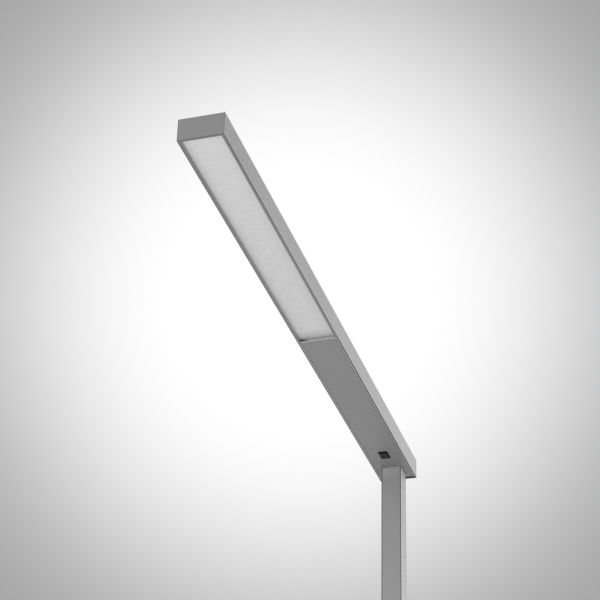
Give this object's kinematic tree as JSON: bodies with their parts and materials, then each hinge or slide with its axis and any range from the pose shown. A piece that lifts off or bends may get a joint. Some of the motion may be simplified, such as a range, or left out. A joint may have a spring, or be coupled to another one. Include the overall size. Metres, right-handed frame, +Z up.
{
  "type": "floor lamp",
  "caption": "Office floor lamp: a slim flat light head lit from below, carried near one end by a square post on a heavy flat base, with a press button under the head.",
  "frame": {"origin": "centre of the mat under the base plate, on the floor", "axes": "+Z up; the head reaches forward along -Y from the post; +X to the side"},
  "size_m": [0.275, 1.224, 1.95],
  "materials": {
    "silver_profile": "satin silver-grey coat with a fine grain",
    "silver_cap": "satin silver-grey coat",
    "silver_plate": "fine textured silver-grey powder coat",
    "opal": "frosted prismatic diffuser",
    "zinc": "zinc-plated steel",
    "alloy": "milled aluminium",
    "black_plastic": "fine moulded texture",
    "rubber": "matte",
    "board": "white solder mask",
    "led": "phosphor",
    "white_plastic": "plain moulded",
    "driver_case": "plain moulded case"
  },
  "bodies": {
    "lamp": {"base_mat": "rubber", "base_plate": "silver_plate", "base_screws": "zinc", "post_profile": "silver_profile", "cable_gland": "black_plastic", "gland_nut": "black_plastic", "head_profile": "silver_profile", "front_cap": "silver_cap", "rear_cap": "silver_cap", "mounting_block": "alloy", "block_screws": "zinc", "head_screws": "zinc", "head_washers": "zinc", "underside_cover": "silver_profile", "top_cover": "silver_profile", "downlight_diffuser": "opal", "uplight_diffuser": "opal", "downlight_boards": "board", "uplight_boards": "board", "downlight_leds": "led", "uplight_leds": "led", "downlight_board_screws": "zinc", "uplight_board_screws": "zinc", "led_driver": "driver_case", "driver_screws": "zinc", "terminal_block": "white_plastic", "terminal_screw": "zinc", "light_grommet": "rubber", "control_grommet": "rubber", "button_bezel": "black_plastic", "button_spring": "zinc", "switch_body": "black_plastic", "switch_board": "board"},
    "button": {"dimmer_button": "black_plastic", "switch_plunger": "white_plastic"}
  },
  "joints": [
    {"name": "dimmer_press", "type": "slide", "parent": "lamp", "child": "button", "axis": [0, 0, 1], "range_m": [0, 0.0012], "stiffness_N_per_m": 400, "springref_m": -0.002, "deforming": ["button_spring"]}
  ]
}
